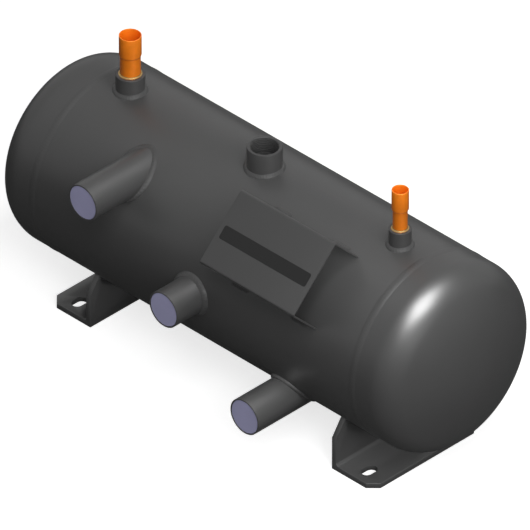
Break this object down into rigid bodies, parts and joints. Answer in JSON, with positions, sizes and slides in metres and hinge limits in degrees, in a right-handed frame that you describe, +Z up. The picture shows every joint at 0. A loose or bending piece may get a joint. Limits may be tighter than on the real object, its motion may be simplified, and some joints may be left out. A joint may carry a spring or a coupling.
{
  "type": "horizontal refrigerant receiver",
  "caption": "Horizontal flooded receiver for a refrigeration plant: a welded steel vessel on slotted angle feet, with copper connections, a relief port, sight glasses and a nameplate bracket.",
  "frame": {"origin": "on the floor, at the centre of the four slots in the feet", "axes": "+Z up; +Y along the vessel, to the right as seen from the front; +X towards the front, where the sight glasses are"},
  "size_m": [0.2604, 0.6356, 0.3275],
  "materials": {
    "paint": "dark grey satin enamel sprayed over welded steel",
    "copper": "drawn copper tube, satin",
    "braze": "silver braze alloy, as melted",
    "bare_steel": "unpainted rolled steel",
    "lens_glass": "polished sight glass, faintly violet"
  },
  "bodies": {
    "root": {"shell": "paint", "head_left": "paint", "head_right": "paint", "girth_weld_left": "paint", "girth_weld_right": "paint", "backing_ring_left": "bare_steel", "backing_ring_right": "bare_steel", "foot_left": "paint", "foot_right": "paint", "foot_weld_left": "paint", "foot_weld_right": "paint", "inlet_boss": "paint", "inlet_tube": "copper", "inlet_braze": "braze", "inlet_weld": "paint", "outlet_boss": "paint", "outlet_tube": "copper", "outlet_braze": "braze", "outlet_weld": "paint", "dip_tube": "bare_steel", "relief_coupling": "paint", "relief_weld": "paint", "sight_stub_high": "paint", "sight_stub_mid": "paint", "sight_stub_low": "paint", "sight_lens_high": "lens_glass", "sight_lens_mid": "lens_glass", "sight_lens_low": "lens_glass", "sight_weld_high": "paint", "sight_weld_mid": "paint", "sight_weld_low": "paint", "nameplate_bracket": "paint", "bracket_weld": "paint"}
  },
  "joints": []
}
